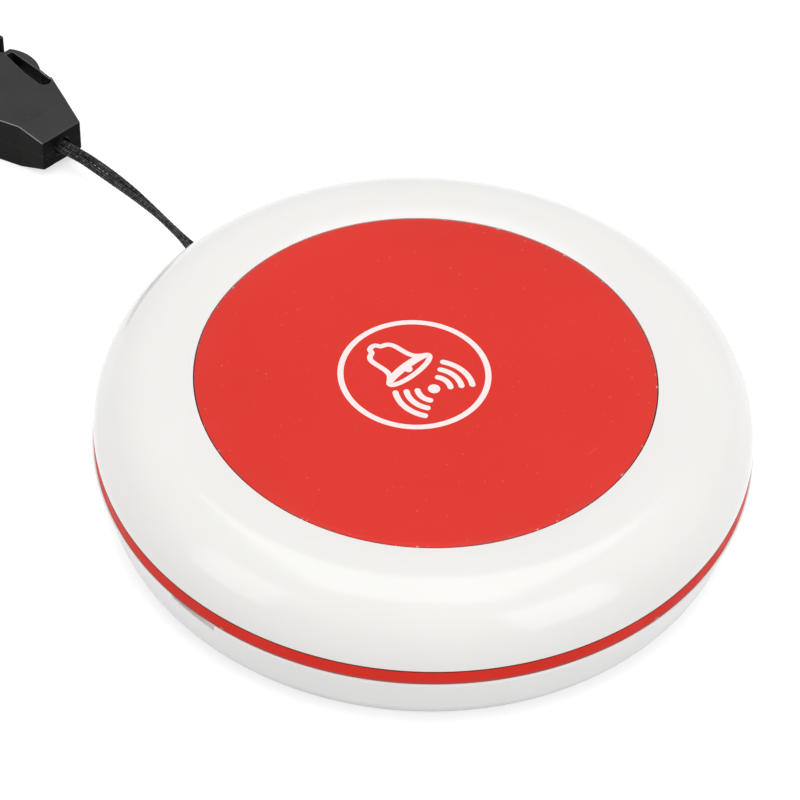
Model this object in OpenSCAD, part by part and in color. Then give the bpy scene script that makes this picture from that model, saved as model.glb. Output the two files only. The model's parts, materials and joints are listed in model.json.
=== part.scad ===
// Round wireless call button with a lanyard loop and a small side-release buckle.
// Millimetres. Z is up out of the button, Y points to the top of the symbol, X is the reading direction.
// The case stands on Z = 0 and its axis is the Z axis.

/* [Case] */
// Diameter over the upper case
case_d = 60; // [56:0.5:80]
// Wall of the upper case
wall = 1.6; // [1.2:0.1:2.2]
// Floor of the lower case
floor_t = 1.5; // [1:0.1:2.5]
// Height of the red band
band_h = 1.6; // [1:0.1:2.5]
// Rounding of the lower case's foot
foot_r = 3; // [1:0.25:4]
// Length of the pry notch under the band
notch_l = 5.2; // [3:0.1:8]

/* [Button] */
// Thickness of the button cap
cap_t = 1.5; // [1.2:0.1:2.5]
// Thickness of the red film on the cap
label_t = 0.2; // [0.1:0.05:0.3]
// Depth of the film below the crest of the case
recess = 0.4; // [0.2:0.05:0.8]
// Gap round the button
button_gap = 0.1; // [0.05:0.05:0.4]
// Width of the cap's flange under the case
flange_w = 1.4; // [1:0.1:2.5]
// Travel of the button
travel = 0.5; // [0.25:0.05:0.6]

/* [Board and switch] */
// Thickness of the circuit board
pcb_t = 1.2; // [0.8:0.1:2]
// Side of the square tact switch
switch_w = 6; // [6:0.1:7]
// Height of the tact switch without its stem
switch_h = 3.5; // [3.4:0.1:5]
// Stem above the switch
stem_out = 0.8; // [0.7:0.1:3]
// Boss on the cap above the stem
plunger_h = 0.6; // [0.5:0.1:2]

/* [Cell] */
// Diameter of the coin cell
cell_d = 20; // [16:0.1:24.5]
// Thickness of the coin cell
cell_h = 3.2; // [2:0.1:5]

/* [Lanyard] */
// Diameter of the cord
cord_d = 0.75; // [0.5:0.05:1.1]
// Diameter of the post that the cord goes round
post_d = 3; // [2:0.1:3.6]

/* [Buckle] */
// Thickness of the buckle
buckle_t = 5.4; // [5:0.1:7]
// Length of the socket half
socket_l = 18.5; // [17:0.5:24]
// Plates above and below the socket's hollow
plate_t = 1.1; // [0.8:0.1:1.4]
// Width of the strap
strap_w = 10; // [8:0.5:15]
// Width of the slot for the strap
strap_slot_w = 2.8; // [2:0.1:4]
// Bars beside and behind the slot for the strap
strap_bar = 1.3; // [1:0.1:3]

/* [Hidden] */

$fn = 96;
eps = 0.01;
over = 1;

// Heights, from the floor up
floor_gap = 0.2;
clip_t = 0.3;
pad_t = 0.1;
holder_t = 0.5;
z_cell = floor_t + floor_gap + clip_t;
z_pad = z_cell + cell_h;
z_holder = z_pad + pad_t;
z_board = z_holder + holder_t;
z_parts = z_board + pcb_t;
board_proud = 0.4;
z_rim = z_parts - board_proud;
z_band = z_rim + band_h;
z_switch = z_parts + switch_h;
z_stem = z_switch + stem_out;
z_cap = z_stem + plunger_h;
z_label = z_cap + cap_t;
z_face = z_label + label_t;
z_top = z_face + recess;
dome_h = z_top - z_band;
z_roof = z_top - wall;
gasket_t = 0.4;
flange_t = 0.8;
z_flange = z_roof - gasket_t - flange_t;

// Radii, from the outside in
case_r = case_d / 2;
edge = 0.05;
band_out = 0.12;
dome_c = case_r - dome_h;
inner_r = case_r - wall;
fit = 0.1;
tongue_t = 0.9;
tongue_h = 0.8;
tongue_r = inner_r - fit;
ring_r = tongue_r - tongue_t;
snap_play = 0.2;
snap_t = 0.9;
snap_r = ring_r - snap_play;
snap_gap = 0.8;
pcb_r = snap_r - snap_t - snap_gap;
screw_in = 1.4;
screw_r = pcb_r - screw_in;
boss_r = 1.6;
boss_gap = 0.3;
boss_sink = 0.2;
flange_r = screw_r - boss_r - boss_gap;
cap_r = flange_r - flange_w;
opening_r = cap_r + button_gap;
crest_r = 14.5;

// Lower case
rim_out = 0.2;
rim_edge = 0.12;
flank = 0.95;
lower_wall = 2.7;
groove_wall = 1.25;
rim_r = case_r + rim_out;
knee_r = rim_r - flank;
base_r = knee_r - foot_r;
cavity_r = rim_r - lower_wall;
groove_w = 1;
groove_h = 0.95;
groove_r = rim_r - groove_wall - groove_w / 2;
seal_w = 0.9;
seal_h = 0.9;
snap_at = [45, 135, 225, 315];
snap_span = 12;
hook_play = 0.05;
hook_out = 0.6;
hook_h = 0.7;
z_hook = z_band + tongue_h + hook_play;
notch_at = 185;
notch_in = 0.55;
notch_h = 0.75;
notch_tip = 0.05;

// Lanyard pocket
lanyard_at = 87;
pocket_roof = 0.6;
pocket_wall = 1;
pocket_free = 0.3;
pocket_sink = 0.5;
pocket_h = z_board - pocket_free - pocket_roof - floor_t;
post_in = 3;
post_r = case_r - post_in;
loop_play = 0.1;
loop_r = post_d / 2 + cord_d / 2 + loop_play;
cord_room = 0.15;
cord_side_room = 0.55;
pocket_in = post_r - loop_r - cord_d / 2 - cord_room;
pocket_w = 2 * (loop_r + cord_d / 2 + cord_side_room);
z_loop = floor_t + pocket_h / 2;
post_x = post_r * cos(lanyard_at);
post_y = post_r * sin(lanyard_at);

// Screws
screw_at = [30, 150, 270];
shaft_r = 0.7;
screw_play = 0.2;
pilot_play = 0.05;
screw_hole_r = shaft_r + screw_play;
pilot_r = shaft_r + pilot_play;
shaft_h = 3;
pilot_more = 0.5;
cross_l = 1.8;
cross_w = 0.4;
cross_h = 0.4;
head_r = 1.4;
head_h = 0.9;

// Button
skirt_w = 1.8;
skirt_r = cap_r - skirt_w;
plunger_r = 3;
rib_w = 1;
rib_h = 0.5;
cap_sink = 0.1;
rib_sink = 0.2;
gasket_in = 0.15;
gasket_r = opening_r + gasket_in;

// Tact switch
cover_t = 0.3;
z_cover = z_switch - cover_t;
well_floor = 1;
z_well = z_parts + well_floor;
well_r = 2.5;
stem_r = 1.75;
stem_play = 0.25;
stem_hole_r = stem_r + stem_play;
stem_flange_r = 2.2;
stem_flange_h = 0.85;
dome_spare = 0.05;
dome_gap = travel + dome_spare;
dome_t = 0.08;
dome_top_r = 1;
dome_foot_r = 2.3;
dome_rim = 0.2;
lead_t = 0.2;
lead_w = 0.7;
lead_h = 0.9;
lead_l = 1.2;
lead_pitch = 4.5;

// Cell holder
cell_r = cell_d / 2;
cell_x = 0;
cell_y = -7;
cell_play = 0.25;
holder_wall = 1.05;
holder_r = cell_r + cell_play + holder_wall;
holder_foot = 0.6;
mouth_w = 14;
push_w = 5;
clip_w = 5;
clip_gap = 0.1;
pad_r = 4;
cell_edge = 0.4;
cell_step = 1.2;
cell_lip = 0.3;

// Small parts on the board
chip_x = -11;
chip_y = 6;
chip_l = 4.9;
chip_w = 3.9;
chip_h = 1.5;
chip_up = 0.15;
z_chip_top = z_parts + chip_up + chip_h;
chip_dot_in = 0.8;
chip_dot_r = 0.35;
chip_dot_h = 0.1;
chip_pitch = 1.27;
chip_lead_w = 0.42;
chip_lead_l = 1;
can_x = 10.5;
can_y = 7;
can_r = 4.1;
can_foot_r = 4.55;
can_h = 3.4;
can_foot_h = 0.5;
wire_r = 0.4;
wire_in = 2.1;
wire_at = pcb_r - wire_in;
wire_from = 45;
wire_span = 90;
wire_up = 1;
z_wire = z_parts + wire_up;
lamp_x = -3.5;
lamp_y = -14;
lamp_l = 3.2;
lamp_w = 1.6;
lamp_h = 0.8;
small_l = 1.6;
small_w = 0.8;
small_h = 0.5;
small_at = [[-16, 0], [-16, -3], [-13, -6], [13, -3], [16, -6], [8, -9]];

// Buckle, in its own frame: Y runs from the cord end to the strap end
buckle_x = 2.6;
buckle_out = 26.3;
buckle_y = case_r + buckle_out;
buckle_turn = 2.5;
tail_half = 2.55;
tail_low = 0.95;
tail_l = 2.9;
neck_half = 3.2;
shoulder_half = 4.5;
shoulder_at = 6.6;
mouth_half = 5.2;
mouth_from = 15.1;
cavity_from = 6;
cavity_half = 4.25;
cavity_neck = 2.4;
cavity_wide = 13.1;
slot_end_r = 0.72;
slot_end = [3.62, 6.75];
slot_to = mouth_from;
window_edge = [[2.95, 9], [3.25, 11.2], [3.5, 12.8], [3.45, 13.2], [3.2, 13.6], [3.2, slot_to]];
lip_t = 0.3;
lip_low = 0.2;
lip_to = 8.5;
lip_at = (lip_to - shoulder_at) / (mouth_from - shoulder_at);
lip_half = shoulder_half + (mouth_half - shoulder_half) * lip_at;
cord_hole_play = 0.25;
cord_hole_r = cord_d + cord_hole_play;
knot_over = 0.2;
knot_r = cord_hole_r + knot_over;
knot_play = 0.4;
knot_room_r = knot_r + knot_play;
knot_room_from = 2.2;
knot_sunk = 0.05;
knot_at = knot_room_from + sqrt(knot_r * knot_r - cord_hole_r * cord_hole_r) - knot_sunk;
plug_gap = 0.2;
plug_from = socket_l + plug_gap;
plug_front = 3.9;
plug_rear_more = 0.8;
plug_rear = strap_bar + plug_rear_more;
plug_edge = 0.8;
strap_play = 0.6;
strap_slot_l = strap_w + strap_play;
strap_at = plug_from + plug_front;
plug_half = strap_slot_l / 2 + strap_bar;
plug_to = strap_at + strap_slot_w + plug_rear;
tongue_half = 1.2;
tongue_from = 8.5;
tongue_low = 0.4;
pad_low = 0.2;
hinge_half = 3.5;
hinge_in = 1;
hinge_at = [hinge_half, plug_from + hinge_in];
hinge_r = 0.65;
hinge_play = 0.1;
hinge_hole_r = hinge_r + hinge_play;
hinge_room = 0.3;
arm_half = 0.6;
bridge_w = 0.6;
pad_in = 5.2;
pad_from = 9.2;
pad_to = 14.45;
pad_c = [1.91, 12];
pad_r_out = 4.24;

// Cord route: middle of the two strands, their distance from it and the way they lie beside each other
cord_sides = 8;
z_hole = buckle_t / 2;
strand_gap = 0.03;
strand_half = cord_d / 2 + strand_gap;
cord_mid = [
    [2.45, 29.2, z_hole], [2.6, 26.3, z_hole], [3.26, 23.6, 2.45], [3.6, 20, 2.3], [3.63, 16.2, 2.35],
    [3.3, 12.1, 2.6], [2.87, 8.9, 2.85], [2.46, 6.05, 3.02], [1.85, 1.7, z_loop]];
cord_turn = [30, 30, 22, 25, -13, -46, -50, -33, -25];
cord_apart = [0, 0, 0, 0, 0, 0, 0, 0.04, 0.62];
loop_turns = [0, -30, -60, -90, -120, -150, -180];

// Point number i of the strand on side s
function strand_half_at(i) = strand_half + cord_apart[i] * (loop_r - strand_half);
function strand_point(i, s) = [
    cord_mid[i][0] + s * strand_half_at(i) * cos(cord_turn[i]),
    cord_mid[i][1] + case_r,
    cord_mid[i][2] + s * strand_half_at(i) * sin(cord_turn[i])];
function loop_point(a) = [
    post_x + loop_r * cos(a + lanyard_at - 90),
    post_y + loop_r * sin(a + lanyard_at - 90),
    z_loop];
cord_last = len(cord_mid) - 1;
cord_points = concat(
    [for (i = [0 : cord_last]) strand_point(i, 1)],
    [for (a = loop_turns) loop_point(a)],
    [for (i = [0 : cord_last]) strand_point(cord_last - i, -1)]);

// Smooth curve through the points, one extra ring between each two
function clamp_at(list, i) = list[max(0, min(len(list) - 1, i))];
function half_way(list, i) =
    (9 * (clamp_at(list, i) + clamp_at(list, i + 1)) - clamp_at(list, i - 1) - clamp_at(list, i + 2)) / 16;
cord_path = [for (i = [0 : 2 * len(cord_points) - 2])
    i % 2 == 0 ? cord_points[i / 2] : half_way(cord_points, (i - 1) / 2)];
function unit(v) = v / norm(v);
function along(path, i) = unit(clamp_at(path, i + 1) - clamp_at(path, i - 1));
function beside(t) = unit(cross(t, [0, 0, 1]));
function ring_at(path, i, r, n) =
    let (t = along(path, i), s = beside(t), u = cross(s, t))
    [for (k = [0 : n - 1]) path[i] + r * (cos(360 * k / n) * s + sin(360 * k / n) * u)];

// One round tube along a path, closed at both ends
module tube(path, r, n) {
    count = len(path);
    points = [for (i = [0 : count - 1]) each ring_at(path, i, r, n)];
    sides = [for (i = [0 : count - 2], k = [0 : n - 1])
        [i * n + k, i * n + (k + 1) % n, (i + 1) * n + (k + 1) % n, (i + 1) * n + k]];
    first = [for (k = [0 : n - 1]) n - 1 - k];
    last = [for (k = [0 : n - 1]) (count - 1) * n + k];
    polyhedron(points = points, faces = concat(sides, [first], [last]), convexity = 6);
}

// Places things at a radius and an angle, with Y pointing outwards
module at_angle(a) {
    rotate([0, 0, a - 90]) children();
}

module ring(r_in, r_out, z, h) {
    translate([0, 0, z]) difference() {
        cylinder(r = r_out, h = h);
        translate([0, 0, -over]) cylinder(r = r_in, h = h + 2 * over);
    }
}

module block(x, y, z, l, w, h) {
    translate([x - l / 2, y - w / 2, z]) cube([l, w, h]);
}

// Places things in the frame of the buckle
module in_buckle() {
    translate([buckle_x, buckle_y, 0]) rotate([0, 0, buckle_turn]) children();
}

// Lower case
module lower_profile() {
    difference() {
        union() {
            polygon([[0, 0], [base_r, 0], [base_r, foot_r], [knee_r, foot_r], [rim_r, z_rim - rim_edge],
                [rim_r - rim_edge, z_rim], [0, z_rim]]);
            intersection() {
                translate([base_r, foot_r]) circle(r = foot_r);
                translate([base_r - eps, 0]) square([foot_r + over, foot_r]);
            }
        }
        translate([-over, floor_t]) square([cavity_r + over, z_rim]);
        translate([groove_r - groove_w / 2, z_rim - groove_h]) square([groove_w, groove_h + over]);
    }
}

module pry_notch() {
    at_angle(notch_at) translate([0, rim_r - notch_in, z_rim]) rotate([-90, 0, 0])
        linear_extrude(height = 3 * over) {
            polygon([[notch_l / 2, -over], [notch_l / 2, notch_tip], [notch_h / 2 - notch_l / 2, notch_h],
                [-notch_l / 2, notch_h / 2], [-notch_l / 2, -over]]);
            translate([notch_h / 2 - notch_l / 2, notch_h / 2]) circle(d = notch_h);
        }
}

module lower_shell() {
    color("#dedddc") difference() {
        union() {
            rotate_extrude() lower_profile();
            at_angle(lanyard_at)
                translate([-pocket_w / 2 - pocket_wall, pocket_in - pocket_wall, floor_t - eps])
                    cube([pocket_w + 2 * pocket_wall, cavity_r + pocket_sink - pocket_in + pocket_wall,
                        pocket_h + pocket_roof + eps]);
        }
        at_angle(lanyard_at) difference() {
            translate([-pocket_w / 2, pocket_in, floor_t]) cube([pocket_w, case_r, pocket_h]);
            translate([0, post_r, 0]) cylinder(d = post_d, h = z_rim);
        }
        pry_notch();
    }
}

// Four snap arms that hook over the tongue of the band
module case_snaps() {
    color("#dedddc") for (a = snap_at) rotate([0, 0, a - snap_span / 2]) rotate_extrude(angle = snap_span)
        polygon([[snap_r - snap_t, floor_t], [snap_r, floor_t], [snap_r, z_hook],
            [snap_r + hook_out, z_hook], [snap_r, z_hook + hook_h], [snap_r - snap_t, z_hook + hook_h]]);
}

module case_seal() {
    color("#3a3a3a") ring(groove_r - seal_w / 2, groove_r + seal_w / 2, z_rim - groove_h, seal_h);
}

// Cord, knotted in the buckle and looped round the post
module lanyard_cord() {
    color("#2e2e2e") tube(cord_path, cord_d / 2, cord_sides);
}

module cord_knot() {
    color("#2e2e2e") in_buckle() translate([0, knot_at, z_hole]) sphere(r = knot_r);
}

// Socket half of the buckle
module socket_plan() {
    polygon([[tail_half, 0], [neck_half, tail_l], [shoulder_half, shoulder_at], [mouth_half, mouth_from],
        [mouth_half, socket_l], [-mouth_half, socket_l], [-mouth_half, mouth_from],
        [-shoulder_half, shoulder_at], [-neck_half, tail_l], [-tail_half, 0]]);
}

module socket_side() {
    polygon([[0, tail_low], [tail_l, 0], [socket_l, 0], [socket_l, buckle_t], [tail_l, buckle_t],
        [0, buckle_t - tail_low]]);
}

module socket_window() {
    translate(slot_end) circle(r = slot_end_r);
    polygon(concat([slot_end - [slot_end_r, 0]], window_edge,
        [[2 * mouth_half, slot_to], [2 * mouth_half, slot_end[1]]]));
}

// Low wall that closes the window's end on the outside
module socket_lip() {
    translate([0, 0, lip_low]) linear_extrude(height = buckle_t - 2 * lip_low)
        polygon([[shoulder_half - lip_t, shoulder_at - 2 * lip_t], [lip_half - lip_t, lip_to],
            [2 * mouth_half, lip_to], [2 * mouth_half, shoulder_at - 2 * lip_t]]);
}

module buckle_socket() {
    color("#2b2b2a") in_buckle() difference() {
        intersection() {
            linear_extrude(height = buckle_t) socket_plan();
            rotate([90, 0, 90]) linear_extrude(height = 4 * mouth_half, center = true) socket_side();
        }
        for (m = [0, 1]) mirror([m, 0, 0]) difference() {
            translate([0, 0, -over]) linear_extrude(height = buckle_t + 2 * over) socket_window();
            socket_lip();
        }
        translate([0, 0, plate_t]) linear_extrude(height = buckle_t - 2 * plate_t)
            polygon([[-cavity_neck, cavity_from], [cavity_neck, cavity_from], [cavity_half, cavity_wide],
                [cavity_half, socket_l + over], [-cavity_half, socket_l + over],
                [-cavity_half, cavity_wide]]);
        translate([0, -over, z_hole]) rotate([-90, 0, 0])
            cylinder(r = cord_hole_r, h = knot_room_from + 2 * over);
        translate([0, knot_room_from, z_hole]) rotate([-90, 0, 0])
            cylinder(r = knot_room_r, h = cavity_from + over - knot_room_from);
    }
}

// Plug half of the buckle
module plug_plan() {
    difference() {
        polygon([[plug_edge - plug_half, plug_from], [plug_half - plug_edge, plug_from],
            [plug_half, plug_from + plug_edge], [plug_half, plug_to - plug_edge],
            [plug_half - plug_edge, plug_to], [plug_edge - plug_half, plug_to],
            [-plug_half, plug_to - plug_edge], [-plug_half, plug_from + plug_edge]]);
        translate([-strap_slot_l / 2, strap_at]) square([strap_slot_l, strap_slot_w]);
    }
}

module hinge_room_plan() {
    translate(hinge_at) circle(r = hinge_hole_r);
    translate([hinge_at[0] - hinge_hole_r - hinge_room, plug_from - over])
        square([2 * (hinge_hole_r + hinge_room), hinge_at[1] - plug_from + over - hinge_room]);
}

module buckle_plug() {
    color("#2b2b2a") in_buckle() difference() {
        union() {
            linear_extrude(height = buckle_t) plug_plan();
            translate([-tongue_half, tongue_from, plate_t + tongue_low])
                cube([2 * tongue_half, plug_from - tongue_from + eps,
                    buckle_t - 2 * plate_t - 2 * tongue_low]);
        }
        for (m = [0, 1]) mirror([m, 0, 0]) translate([0, 0, plate_t])
            linear_extrude(height = buckle_t - 2 * plate_t) hinge_room_plan();
    }
}

// Sprung prongs of the plug
module prong_plan() {
    translate(hinge_at) circle(r = hinge_r);
    translate([hinge_half - arm_half, pad_to - bridge_w])
        square([2 * arm_half, hinge_at[1] - pad_to + bridge_w]);
    translate([hinge_half, pad_to - bridge_w]) square([pad_in + eps - hinge_half, bridge_w]);
    intersection() {
        translate(pad_c) circle(r = pad_r_out);
        translate([pad_in, pad_from]) square([pad_r_out, pad_to - pad_from]);
    }
}

module release_prong() {
    translate([0, 0, plate_t + pad_low]) linear_extrude(height = buckle_t - 2 * plate_t - 2 * pad_low)
        prong_plan();
}

module release_prong_right() {
    color("#505050") in_buckle() release_prong();
}

module release_prong_left() {
    color("#505050") in_buckle() mirror([1, 0, 0]) release_prong();
}

// Upper case
module upper_profile() {
    difference() {
        union() {
            intersection() {
                translate([dome_c, z_band]) circle(r = dome_h);
                translate([dome_c - eps, z_band]) square([dome_h + over, dome_h + over]);
            }
            intersection() {
                translate([dome_c, z_top - crest_r]) circle(r = crest_r);
                translate([opening_r, z_roof]) square([dome_c - opening_r, wall + over]);
            }
        }
        translate([dome_c, z_band]) circle(r = dome_h - wall);
        translate([dome_c - over, z_band - over]) square([over, z_roof - z_band + over]);
        translate([dome_c, z_band - over]) square([inner_r - dome_c, tongue_h + fit + over]);
        polygon([[case_r - edge, z_band - eps], [case_r + over, z_band - eps],
            [case_r + over, z_band + edge], [case_r, z_band + edge]]);
    }
}

module upper_shell() {
    color("#f0efed") difference() {
        union() {
            rotate_extrude() upper_profile();
            for (a = screw_at) at_angle(a) translate([0, screw_r, z_parts])
                cylinder(r = boss_r, h = z_roof + boss_sink - z_parts);
        }
        for (a = screw_at) at_angle(a) translate([0, screw_r, z_parts - over])
            cylinder(r = pilot_r, h = shaft_h + pilot_more + over);
    }
}

// Red band with its tongue
module trim_ring() {
    color("#d3382d") rotate_extrude()
        polygon([[ring_r, z_rim], [case_r + band_out - edge, z_rim], [case_r + band_out, z_rim + edge],
            [case_r, z_band - edge], [case_r - edge, z_band], [tongue_r, z_band],
            [tongue_r, z_band + tongue_h], [ring_r, z_band + tongue_h]]);
}

// Circuit board and its screws
module pcb() {
    color("#1f6b3a") difference() {
        translate([0, 0, z_board]) cylinder(r = pcb_r, h = pcb_t);
        for (a = screw_at) at_angle(a) translate([0, screw_r, z_board - over])
            cylinder(r = screw_hole_r, h = pcb_t + 2 * over);
    }
}

module pcb_screws() {
    color("#b8b8b8") for (a = screw_at) at_angle(a) translate([0, screw_r, 0]) {
        translate([0, 0, z_board - eps]) cylinder(r = shaft_r, h = pcb_t + shaft_h);
        translate([0, 0, z_board - head_h]) difference() {
            cylinder(r = head_r, h = head_h);
            block(0, 0, -over, cross_l, cross_w, cross_h + over);
            block(0, 0, -over, cross_w, cross_l, cross_h + over);
        }
    }
}

// Tact switch
module switch_body() {
    color("#262626") difference() {
        block(0, 0, z_parts, switch_w, switch_w, z_cover - z_parts);
        translate([0, 0, z_well]) cylinder(r = well_r, h = switch_h);
    }
}

module switch_cover() {
    color("#c4c4c4") difference() {
        block(0, 0, z_cover, switch_w, switch_w, cover_t);
        translate([0, 0, z_cover - over]) cylinder(r = stem_hole_r, h = 3 * over);
    }
}

module switch_dome() {
    color("#c4c4c4") translate([0, 0, z_well]) rotate_extrude()
        polygon([[0, dome_gap - dome_t], [dome_top_r - dome_t, dome_gap - dome_t],
            [dome_foot_r - dome_rim, 0], [dome_foot_r, 0], [dome_top_r, dome_gap], [0, dome_gap]]);
}

module switch_stem() {
    color("#262626") {
        translate([0, 0, z_well + dome_gap]) cylinder(r = stem_r, h = z_stem - z_well - dome_gap);
        translate([0, 0, z_cover - stem_flange_h]) cylinder(r = stem_flange_r, h = stem_flange_h);
    }
}

module switch_terminals() {
    color("#c4c4c4") for (x = [-1, 1], y = [-lead_pitch / 2, lead_pitch / 2]) {
        block(x * (switch_w / 2 + lead_t / 2), y, z_parts, lead_t, lead_w, lead_h);
        block(x * (switch_w / 2 + lead_l / 2), y, z_parts, lead_l, lead_w, lead_t);
    }
}

// Coin cell and what holds it under the board
module battery_holder() {
    color("#202020") translate([cell_x, cell_y, 0]) difference() {
        translate([0, 0, z_cell + holder_foot]) cylinder(r = holder_r, h = z_board - z_cell - holder_foot);
        translate([0, 0, z_cell]) cylinder(r = cell_r + cell_play, h = z_holder - z_cell);
        translate([-mouth_w / 2, -holder_r - over, z_cell]) cube([mouth_w, holder_r, z_holder - z_cell]);
        translate([-push_w / 2, 0, z_cell]) cube([push_w, holder_r + over, z_holder - z_cell]);
    }
}

module coin_cell() {
    color("#cfcfcf") translate([cell_x, cell_y, z_cell]) rotate_extrude()
        polygon([[0, 0], [cell_r - cell_edge, 0], [cell_r, cell_edge], [cell_r, cell_h - 2 * cell_lip],
            [cell_r - cell_lip, cell_h - cell_lip], [cell_r - cell_step, cell_h - cell_lip],
            [cell_r - cell_step, cell_h], [0, cell_h]]);
}

module battery_clip() {
    leg_x = holder_r + clip_gap;
    color("#d8c070") translate([cell_x, cell_y, 0]) {
        block(0, 0, z_cell - clip_t, 2 * (leg_x + clip_t), clip_w, clip_t);
        for (s = [-1, 1])
            block(s * (leg_x + clip_t / 2), 0, z_cell - clip_t, clip_t, clip_w, z_board - z_cell + clip_t);
    }
}

module battery_pad() {
    color("#d8c070") translate([cell_x, cell_y, z_pad]) cylinder(r = pad_r, h = pad_t);
}

// Radio parts
module encoder_chip() {
    color("#1c1c1c") translate([chip_x, chip_y, 0]) difference() {
        block(0, 0, z_parts + chip_up, chip_l, chip_w, chip_h);
        translate([chip_dot_in - chip_l / 2, chip_dot_in - chip_w / 2, z_chip_top - chip_dot_h])
            cylinder(r = chip_dot_r, h = over);
    }
}

module encoder_leads() {
    color("#c4c4c4") translate([chip_x, chip_y, 0]) for (s = [-1, 1], k = [-1.5 : 1 : 1.5]) {
        block(k * chip_pitch, s * (chip_w / 2 + lead_t / 2), z_parts, chip_lead_w, lead_t, lead_h);
        block(k * chip_pitch, s * (chip_w + chip_lead_l) / 2, z_parts, chip_lead_w, chip_lead_l, lead_t);
    }
}

module saw_resonator() {
    color("#cfcfcf") translate([can_x, can_y, z_parts]) {
        cylinder(r = can_foot_r, h = can_foot_h);
        cylinder(r = can_r, h = can_h);
    }
}

module antenna_wire() {
    color("#b87333") {
        translate([0, 0, z_wire]) rotate([0, 0, wire_from]) rotate_extrude(angle = wire_span)
            translate([wire_at, 0]) circle(r = wire_r);
        for (a = [wire_from, wire_from + wire_span]) rotate([0, 0, a]) translate([wire_at, 0, z_parts])
            cylinder(r = wire_r, h = z_wire - z_parts + wire_r);
    }
}

module indicator_led() {
    color("#e8e8e0") block(lamp_x, lamp_y, z_parts, lamp_l, lamp_w, lamp_h);
}

module smd_passives() {
    color("#6b5a44") for (p = small_at) block(p[0], p[1], z_parts, small_l, small_w, small_h);
}

// Button
module button_cap() {
    color("#c0362c") {
        translate([0, 0, z_cap]) cylinder(r = cap_r, h = cap_t);
        ring(skirt_r, flange_r, z_flange, flange_t);
        ring(skirt_r, cap_r, z_flange, z_cap + cap_sink - z_flange);
        translate([0, 0, z_stem]) cylinder(r = plunger_r, h = plunger_h + cap_sink);
        for (a = [0, 60, 120]) rotate([0, 0, a]) difference() {
            block(0, 0, z_cap - rib_h, 2 * (skirt_r + rib_sink), rib_w, rib_h + cap_sink);
            translate([0, 0, z_cap - rib_h - over]) cylinder(r = plunger_r - rib_sink, h = 3 * over);
        }
    }
}

module button_label() {
    color("#e04036") translate([0, 0, z_label]) cylinder(r = cap_r, h = label_t);
}

module button_gasket() {
    color("#3a3a3a") ring(gasket_r, flange_r, z_roof - gasket_t, gasket_t);
}

lower_shell();
case_snaps();
case_seal();
lanyard_cord();
cord_knot();
buckle_socket();
upper_shell();
trim_ring();
pcb();
pcb_screws();
switch_body();
switch_cover();
switch_dome();
switch_terminals();
battery_holder();
coin_cell();
battery_clip();
battery_pad();
encoder_chip();
encoder_leads();
saw_resonator();
antenna_wire();
indicator_led();
smd_passives();
button_cap();
button_label();
button_gasket();
switch_stem();
buckle_plug();
release_prong_left();
release_prong_right();
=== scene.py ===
"""Looks of the round wireless call button: camera, cord, dressed pieces, materials, floor and light."""
import json
import math

import bmesh
import bpy
from mathutils import Matrix, Vector

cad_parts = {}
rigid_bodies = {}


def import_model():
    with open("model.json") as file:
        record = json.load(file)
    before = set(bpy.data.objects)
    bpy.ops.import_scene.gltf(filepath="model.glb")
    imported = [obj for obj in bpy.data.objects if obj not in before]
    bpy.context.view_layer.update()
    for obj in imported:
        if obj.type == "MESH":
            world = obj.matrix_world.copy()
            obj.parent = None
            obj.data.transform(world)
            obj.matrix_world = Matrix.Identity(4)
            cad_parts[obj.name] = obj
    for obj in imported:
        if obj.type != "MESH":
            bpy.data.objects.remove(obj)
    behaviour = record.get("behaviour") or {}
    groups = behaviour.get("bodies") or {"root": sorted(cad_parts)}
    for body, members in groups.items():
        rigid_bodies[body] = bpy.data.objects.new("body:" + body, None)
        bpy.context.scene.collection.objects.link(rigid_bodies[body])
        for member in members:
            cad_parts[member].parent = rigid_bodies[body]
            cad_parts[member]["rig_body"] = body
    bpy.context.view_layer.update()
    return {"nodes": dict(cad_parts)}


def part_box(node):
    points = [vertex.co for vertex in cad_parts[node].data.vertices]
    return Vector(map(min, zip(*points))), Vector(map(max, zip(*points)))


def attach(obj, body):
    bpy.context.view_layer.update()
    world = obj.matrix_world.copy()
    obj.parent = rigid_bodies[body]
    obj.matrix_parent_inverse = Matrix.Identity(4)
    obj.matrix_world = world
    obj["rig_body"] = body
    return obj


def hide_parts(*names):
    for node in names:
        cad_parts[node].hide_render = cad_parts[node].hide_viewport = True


MM = 0.001

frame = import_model()
nodes = frame["nodes"]
scene = bpy.context.scene

# Heights and radii of the CAD model, in millimetres
BAND_H = 1.6
BUTTON_GAP = 0.1
WALL = 1.6
CREST_R = 14.5
EDGE = 0.05
Z_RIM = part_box("trim_ring")[0][2] / MM
Z_BAND = Z_RIM + BAND_H
Z_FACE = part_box("button_label")[1][2] / MM
Z_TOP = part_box("upper_shell")[1][2] / MM
CASE_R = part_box("upper_shell")[1][0] / MM
DOME_H = Z_TOP - Z_BAND
DOME_C = CASE_R - DOME_H
FILM_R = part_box("button_label")[1][0] / MM
OPENING_R = FILM_R + BUTTON_GAP
BUCKLE_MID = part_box("buckle_socket")[1][2] / MM / 2

# Camera, from the perspective of the photograph
CAMERA_AT = Vector((-131.734, -128.563, 197.463)) * MM
CAMERA_ELEVATION = math.radians(45.509)
CAMERA_ROLL = math.radians(2.479)
CAMERA_LENS = 130.33
CAMERA_SENSOR = 36.0


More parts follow.
